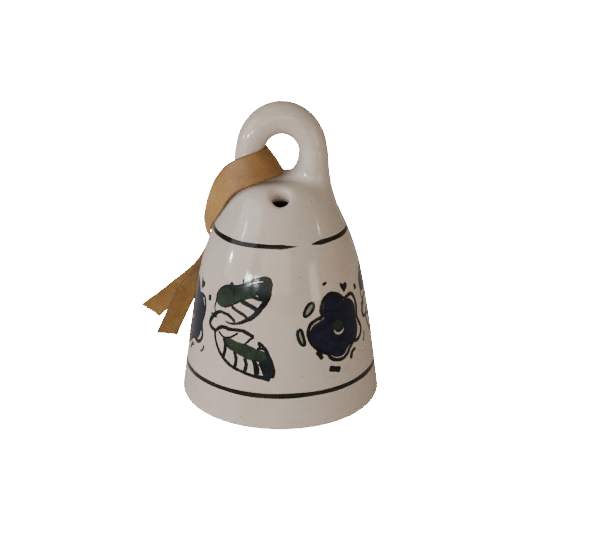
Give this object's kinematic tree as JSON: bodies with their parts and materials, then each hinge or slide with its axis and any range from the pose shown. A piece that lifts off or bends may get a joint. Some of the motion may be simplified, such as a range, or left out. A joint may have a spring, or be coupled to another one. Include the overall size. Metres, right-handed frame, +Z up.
{
  "type": "hand bell",
  "caption": "Small porcelain table bell with a hanging loop on its crown, slanting holes beside the loop, a bead clapper on a string from a bar in its neck, and a ribbon folded through the loop",
  "frame": {"origin": "centre of the mouth, on the surface the rim stands on", "axes": "+Z up along the bell's axis, +X along the plane of the hanging loop to the right seen from the front, -Y towards the front"},
  "size_m": [0.0871, 0.088, 0.1],
  "materials": {
    "glazed_porcelain": "clear gloss glaze over painted flowers, leaves and two bands, bare on the foot ring",
    "cotton_string": "twisted natural cotton",
    "bead_porcelain": "clear gloss glaze",
    "satin_ribbon": "ochre satin with a woven edge"
  },
  "bodies": {
    "bell": {"bell_body": "glazed_porcelain", "string_loop": "cotton_string", "ribbon": "satin_ribbon"},
    "knot": {"string_knot": "cotton_string"},
    "clapper": {"clapper_string": "cotton_string", "clapper_ball": "bead_porcelain", "end_knot": "cotton_string"}
  },
  "joints": [
    {"name": "clapper_turn", "type": "hinge", "parent": "bell", "child": "knot", "pos_m": [0, 0, 0.0535], "axis": [0, 0, 1], "continuous": true},
    {"name": "clapper_swing", "type": "hinge", "parent": "knot", "child": "clapper", "pos_m": [0, 0, 0.0535], "axis": [0, 1, 0], "range_deg": [-34, 34]}
  ]
}
